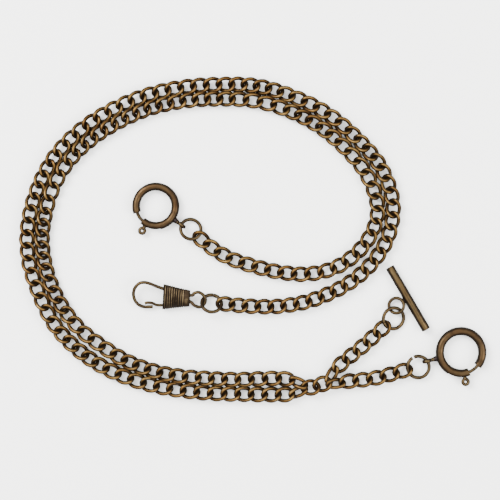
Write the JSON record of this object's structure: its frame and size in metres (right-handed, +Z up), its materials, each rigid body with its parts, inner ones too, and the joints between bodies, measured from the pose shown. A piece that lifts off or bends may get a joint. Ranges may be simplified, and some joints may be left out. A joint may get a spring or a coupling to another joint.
{
  "type": "pocket watch chain",
  "caption": "Double-strand curb-link watch chain with a T-bar, two spring-ring clasps and a snap clip on jump rings.",
  "frame": {"origin": "middle of the bounding box, at the height of the surface the chain lies on", "axes": "+X to the end with the large spring ring, +Y to the top of the laid loop, +Z up from the surface"},
  "size_m": [0.1682, 0.1172, 0.005],
  "materials": {
    "chain_brass": "aged bronze tone, satin, darkened in the recesses",
    "clasp_brass": "aged bronze tone, satin, rubbed brighter on the high spots",
    "clip_brass": "aged bronze tone, satin, dark between the ribs",
    "spring_steel": "drawn spring wire, dull"
  },
  "bodies": {
    "clasp_branch_1": {"clasp_branch_1": "chain_brass"},
    "clasp_branch_2": {"clasp_branch_2": "chain_brass"},
    "clasp_jump_ring": {"clasp_jump_ring": "chain_brass"},
    "clip_gate": {"clip_gate": "clip_brass"},
    "clip": {"clip_hook": "clip_brass", "clip_sleeve": "clip_brass"},
    "clip_jump_ring": {"clip_jump_ring": "chain_brass"},
    "inner_run_01": {"inner_run_01": "chain_brass"},
    "inner_run_02": {"inner_run_02": "chain_brass"},
    "inner_run_03": {"inner_run_03": "chain_brass"},
    "inner_run_04": {"inner_run_04": "chain_brass"},
    "inner_run_05": {"inner_run_05": "chain_brass"},
    "inner_run_06": {"inner_run_06": "chain_brass"},
    "inner_run_07": {"inner_run_07": "chain_brass"},
    "inner_run_08": {"inner_run_08": "chain_brass"},
    "inner_run_09": {"inner_run_09": "chain_brass"},
    "inner_run_10": {"inner_run_10": "chain_brass"},
    "inner_run_11": {"inner_run_11": "chain_brass"},
    "inner_run_12": {"inner_run_12": "chain_brass"},
    "inner_run_13": {"inner_run_13": "chain_brass"},
    "inner_run_14": {"inner_run_14": "chain_brass"},
    "inner_run_15": {"inner_run_15": "chain_brass"},
    "inner_run_16": {"inner_run_16": "chain_brass"},
    "inner_run_17": {"inner_run_17": "chain_brass"},
    "junction_link_1": {"junction_link_1": "chain_brass"},
    "junction_link_2": {"junction_link_2": "chain_brass"},
    "large_bolt": {"large_ring_bolt": "clasp_brass"},
    "large_ring": {"large_ring_eye": "clasp_brass", "large_ring_spring": "spring_steel", "large_ring_stop": "clasp_brass", "large_ring_tube": "clasp_brass"},
    "outer_run_01": {"outer_run_01": "chain_brass"},
    "outer_run_02": {"outer_run_02": "chain_brass"},
    "outer_run_03": {"outer_run_03": "chain_brass"},
    "outer_run_04": {"outer_run_04": "chain_brass"},
    "outer_run_05": {"outer_run_05": "chain_brass"},
    "outer_run_06": {"outer_run_06": "chain_brass"},
    "outer_run_07": {"outer_run_07": "chain_brass"},
    "outer_run_08": {"outer_run_08": "chain_brass"},
    "outer_run_09": {"outer_run_09": "chain_brass"},
    "outer_run_10": {"outer_run_10": "chain_brass"},
    "outer_run_11": {"outer_run_11": "chain_brass"},
    "outer_run_12": {"outer_run_12": "chain_brass"},
    "outer_run_13": {"outer_run_13": "chain_brass"},
    "outer_run_14": {"outer_run_14": "chain_brass"},
    "outer_run_15": {"outer_run_15": "chain_brass"},
    "outer_run_16": {"outer_run_16": "chain_brass"},
    "outer_run_17": {"outer_run_17": "chain_brass"},
    "small_jump_ring": {"small_jump_ring": "chain_brass"},
    "small_bolt": {"small_ring_bolt": "clasp_brass"},
    "small_ring": {"small_ring_eye": "clasp_brass", "small_ring_spring": "spring_steel", "small_ring_stop": "clasp_brass", "small_ring_tube": "clasp_brass"},
    "t_bar": {"t_bar": "clasp_brass", "t_bar_ring": "clasp_brass"},
    "t_branch_1": {"t_branch_1": "chain_brass"},
    "t_branch_2": {"t_branch_2": "chain_brass"},
    "t_jump_ring": {"t_jump_ring": "chain_brass"}
  },
  "joints": [
    {"name": "large_ring_bolt_slide", "type": "hinge", "parent": "large_ring", "child": "large_bolt", "pos_m": [0.07506, -0.04067, 0.00212], "axis": [0, 0, -1], "range_deg": [0, 32], "stiffness_Nm_per_rad": 0.006, "springref_deg": -8.59, "deforming": ["large_ring_spring"]},
    {"name": "small_ring_bolt_slide", "type": "hinge", "parent": "small_ring", "child": "small_bolt", "pos_m": [-0.03484, 0.01193, 0.00212], "axis": [0, 0, 1], "range_deg": [0, 32], "stiffness_Nm_per_rad": 0.006, "springref_deg": -8.59, "deforming": ["small_ring_spring"]},
    {"name": "clip_gate_hinge", "type": "hinge", "parent": "clip", "child": "clip_gate", "pos_m": [-0.03043, -0.0234, 0.00206], "axis": [0.0142, 0.2245, -0.9744], "range_deg": [0, 20], "stiffness_Nm_per_rad": 0.006, "springref_deg": -8.59},
    {"name": "t_bar_swivel", "type": "hinge", "parent": "t_jump_ring", "child": "t_bar", "pos_m": [0.05138, -0.02562, 0.00199], "axis": [0, 0, 1], "range_deg": [-15, 8]},
    {"name": "large_ring_swivel", "type": "hinge", "parent": "clasp_jump_ring", "child": "large_ring", "pos_m": [0.06276, -0.04382, 0.00212], "axis": [0, 0, 1], "range_deg": [-12, 12]},
    {"name": "clip_swivel", "type": "hinge", "parent": "clip_jump_ring", "child": "clip", "pos_m": [-0.01759, -0.02217, 0.00267], "axis": [0, 0, 1], "range_deg": [-8, 15]},
    {"name": "small_ring_swivel", "type": "hinge", "parent": "small_jump_ring", "child": "small_ring", "pos_m": [-0.02559, 0.00513, 0.00212], "axis": [0, 0, 1], "range_deg": [-12, 12]},
    {"name": "clasp_jump_ring_hinge", "type": "hinge", "parent": "clasp_branch_2", "child": "clasp_jump_ring", "pos_m": [0.05646, -0.04667, 0.00199], "axis": [-0.2137, 0.9769, 0], "range_deg": [-15, 15]},
    {"name": "t_jump_ring_hinge", "type": "hinge", "parent": "t_branch_2", "child": "t_jump_ring", "pos_m": [0.04836, -0.03067, 0.00199], "axis": [-0.6757, 0.7372, 0], "range_deg": [-20, 20]},
    {"name": "clip_jump_ring_hinge", "type": "hinge", "parent": "outer_run_17", "child": "clip_jump_ring", "pos_m": [-0.01204, -0.02307, 0.00199], "axis": [0, -1, 0], "range_deg": [-20, 20]},
    {"name": "small_jump_ring_hinge", "type": "hinge", "parent": "inner_run_17", "child": "small_jump_ring", "pos_m": [-0.02024, 0.00153, 0.00199], "axis": [-0.7241, -0.6897, 0], "range_deg": [-15, 15]},
    {"name": "outer_run_06_hinge", "type": "hinge", "parent": "outer_run_05", "child": "outer_run_06", "pos_m": [-0.08013, -0.01125, 0.00199], "axis": [0.9656, 0.26, 0], "range_deg": [-25, 25]},
    {"name": "inner_run_06_hinge", "type": "hinge", "parent": "inner_run_05", "child": "inner_run_06", "pos_m": [-0.07421, -0.00965, 0.00199], "axis": [0.9656, 0.26, 0], "range_deg": [-25, 25]},
    {"name": "outer_run_14_hinge", "type": "hinge", "parent": "outer_run_13", "child": "outer_run_14", "pos_m": [0.04837, 0.02217, 0.00199], "axis": [-0.9255, -0.3787, 0], "range_deg": [-25, 25]},
    {"name": "junction_link_2_hinge", "type": "hinge", "parent": "junction_link_1", "child": "junction_link_2", "pos_m": [0.02296, -0.05267, 0.00259], "axis": [-0.2747, 0.9615, 0], "range_deg": [-20, 20]},
    {"name": "t_branch_1_hinge", "type": "hinge", "parent": "junction_link_2", "child": "t_branch_1", "pos_m": [0.02736, -0.05087, 0.00199], "axis": [0, 0, 1], "range_deg": [-8, 4]},
    {"name": "clasp_branch_1_hinge", "type": "hinge", "parent": "junction_link_2", "child": "clasp_branch_1", "pos_m": [0.02741, -0.05202, 0.00324], "axis": [0, 0, 1], "range_deg": [-12, 5]},
    {"name": "t_branch_2_hinge", "type": "hinge", "parent": "t_branch_1", "child": "t_branch_2", "pos_m": [0.03736, -0.04037, 0.00199], "axis": [-0.6302, 0.7765, 0], "range_deg": [-25, 25]},
    {"name": "clasp_branch_2_hinge", "type": "hinge", "parent": "clasp_branch_1", "child": "clasp_branch_2", "pos_m": [0.04206, -0.05029, 0.00198], "axis": [-0.139, 0.9903, 0], "range_deg": [-25, 25]},
    {"name": "outer_run_01_hinge", "type": "hinge", "parent": "junction_link_1", "child": "outer_run_01", "pos_m": [0.01861, -0.05392, 0.00199], "axis": [0.4264, -0.9046, 0], "range_deg": [-12, 25]},
    {"name": "inner_run_01_hinge", "type": "hinge", "parent": "junction_link_1", "child": "inner_run_01", "pos_m": [0.01861, -0.05262, 0.00319], "axis": [0.4264, -0.9046, 0], "range_deg": [-25, 12]},
    {"name": "outer_run_17_hinge", "type": "hinge", "parent": "outer_run_16", "child": "outer_run_17", "pos_m": [0.01115, -0.02394, 0.00199], "axis": [0.1063, -0.9943, 0], "range_deg": [-25, 25]},
    {"name": "inner_run_17_hinge", "type": "hinge", "parent": "inner_run_16", "child": "inner_run_17", "pos_m": [0.00072, -0.00972, 0.00199], "axis": [-0.2669, -0.9637, 0], "range_deg": [-25, 25]},
    {"name": "inner_run_02_hinge", "type": "hinge", "parent": "inner_run_01", "child": "inner_run_02", "pos_m": [-0.00533, -0.05017, 0.00199], "axis": [0.0125, 0.9999, 0], "range_deg": [-25, 25]},
    {"name": "outer_run_02_hinge", "type": "hinge", "parent": "outer_run_01", "child": "outer_run_02", "pos_m": [-0.0054, -0.05603, 0.00199], "axis": [0.0125, 0.9999, 0], "range_deg": [-25, 25]},
    {"name": "inner_run_03_hinge", "type": "hinge", "parent": "inner_run_02", "child": "inner_run_03", "pos_m": [-0.02897, -0.04852, 0.00199], "axis": [0.1646, 0.9864, 0], "range_deg": [-25, 25]},
    {"name": "outer_run_03_hinge", "type": "hinge", "parent": "outer_run_02", "child": "outer_run_03", "pos_m": [-0.02991, -0.05411, 0.00199], "axis": [0.1646, 0.9864, 0], "range_deg": [-25, 25]},
    {"name": "inner_run_04_hinge", "type": "hinge", "parent": "inner_run_03", "child": "inner_run_04", "pos_m": [-0.0499, -0.04086, 0.00199], "axis": [-0.4608, -0.8875, 0], "range_deg": [-25, 25]},
    {"name": "outer_run_04_hinge", "type": "hinge", "parent": "outer_run_03", "child": "outer_run_04", "pos_m": [-0.05296, -0.04676, 0.00199], "axis": [-0.4608, -0.8875, 0], "range_deg": [-25, 25]},
    {"name": "inner_run_05_hinge", "type": "hinge", "parent": "inner_run_04", "child": "inner_run_05", "pos_m": [-0.06489, -0.02878, 0.00199], "axis": [-0.7843, -0.6204, 0], "range_deg": [-25, 25]},
    {"name": "outer_run_05_hinge", "type": "hinge", "parent": "outer_run_04", "child": "outer_run_05", "pos_m": [-0.07013, -0.03292, 0.00199], "axis": [-0.7843, -0.6204, 0], "range_deg": [-25, 25]},
    {"name": "inner_run_07_hinge", "type": "hinge", "parent": "inner_run_06", "child": "inner_run_07", "pos_m": [-0.07409, 0.01001, 0.00199], "axis": [0.9692, -0.2463, 0], "range_deg": [-25, 25]},
    {"name": "outer_run_07_hinge", "type": "hinge", "parent": "outer_run_06", "child": "outer_run_07", "pos_m": [-0.07994, 0.0115, 0.00199], "axis": [0.9692, -0.2463, 0], "range_deg": [-25, 25]},
    {"name": "inner_run_08_hinge", "type": "hinge", "parent": "inner_run_07", "child": "inner_run_08", "pos_m": [-0.06608, 0.02773, 0.00199], "axis": [-0.7863, 0.6179, 0], "range_deg": [-25, 25]},
    {"name": "outer_run_08_hinge", "type": "hinge", "parent": "outer_run_07", "child": "outer_run_08", "pos_m": [-0.07052, 0.03122, 0.00199], "axis": [-0.7863, 0.6179, 0], "range_deg": [-25, 25]},
    {"name": "inner_run_09_hinge", "type": "hinge", "parent": "inner_run_08", "child": "inner_run_09", "pos_m": [-0.04948, 0.04125, 0.00199], "axis": [-0.4842, 0.8749, 0], "range_deg": [-25, 25]},
    {"name": "outer_run_09_hinge", "type": "hinge", "parent": "outer_run_08", "child": "outer_run_09", "pos_m": [-0.05219, 0.04616, 0.00199], "axis": [-0.4842, 0.8749, 0], "range_deg": [-25, 25]},
    {"name": "inner_run_10_hinge", "type": "hinge", "parent": "inner_run_09", "child": "inner_run_10", "pos_m": [-0.02941, 0.04871, 0.00199], "axis": [0.1978, -0.9802, 0], "range_deg": [-25, 25]},
    {"name": "outer_run_10_hinge", "type": "hinge", "parent": "outer_run_09", "child": "outer_run_10", "pos_m": [-0.0305, 0.05411, 0.00199], "axis": [0.1978, -0.9802, 0], "range_deg": [-25, 25]},
    {"name": "inner_run_11_hinge", "type": "hinge", "parent": "inner_run_10", "child": "inner_run_11", "pos_m": [-0.00741, 0.05019, 0.00199], "axis": [0.0035, -1, 0], "range_deg": [-25, 25]},
    {"name": "outer_run_11_hinge", "type": "hinge", "parent": "outer_run_10", "child": "outer_run_11", "pos_m": [-0.00743, 0.0561, 0.00199], "axis": [0.0035, -1, 0], "range_deg": [-25, 25]},
    {"name": "inner_run_12_hinge", "type": "hinge", "parent": "inner_run_11", "child": "inner_run_12", "pos_m": [0.01215, 0.04634, 0.00199], "axis": [0.3627, 0.9319, 0], "range_deg": [-25, 25]},
    {"name": "outer_run_12_hinge", "type": "hinge", "parent": "outer_run_11", "child": "outer_run_12", "pos_m": [0.01429, 0.05184, 0.00199], "axis": [0.3627, 0.9319, 0], "range_deg": [-25, 25]},
    {"name": "inner_run_13_hinge", "type": "hinge", "parent": "inner_run_12", "child": "inner_run_13", "pos_m": [0.03059, 0.035, 0.00199], "axis": [0.6734, 0.7393, 0], "range_deg": [-25, 25]},
    {"name": "outer_run_13_hinge", "type": "hinge", "parent": "outer_run_12", "child": "outer_run_13", "pos_m": [0.03472, 0.03954, 0.00199], "axis": [0.6734, 0.7393, 0], "range_deg": [-25, 25]},
    {"name": "inner_run_14_hinge", "type": "hinge", "parent": "inner_run_13", "child": "inner_run_14", "pos_m": [0.04256, 0.01979, 0.00199], "axis": [-0.9255, -0.3787, 0], "range_deg": [-25, 25]},
    {"name": "inner_run_15_hinge", "type": "hinge", "parent": "inner_run_14", "child": "inner_run_15", "pos_m": [0.04296, 0.00239, 0.00199], "axis": [-0.9002, 0.4355, 0], "range_deg": [-25, 25]},
    {"name": "outer_run_15_hinge", "type": "hinge", "parent": "outer_run_14", "child": "outer_run_15", "pos_m": [0.04849, 0.0001, 0.00199], "axis": [-0.9237, 0.3832, 0], "range_deg": [-25, 25]},
    {"name": "inner_run_16_hinge", "type": "hinge", "parent": "inner_run_15", "child": "inner_run_16", "pos_m": [0.02449, -0.01181, 0.00199], "axis": [0.2104, -0.9776, 0], "range_deg": [-25, 25]},
    {"name": "outer_run_16_hinge", "type": "hinge", "parent": "outer_run_15", "child": "outer_run_16", "pos_m": [0.03307, -0.01676, 0.00199], "axis": [0.505, -0.8631, 0], "range_deg": [-25, 25]}
  ]
}
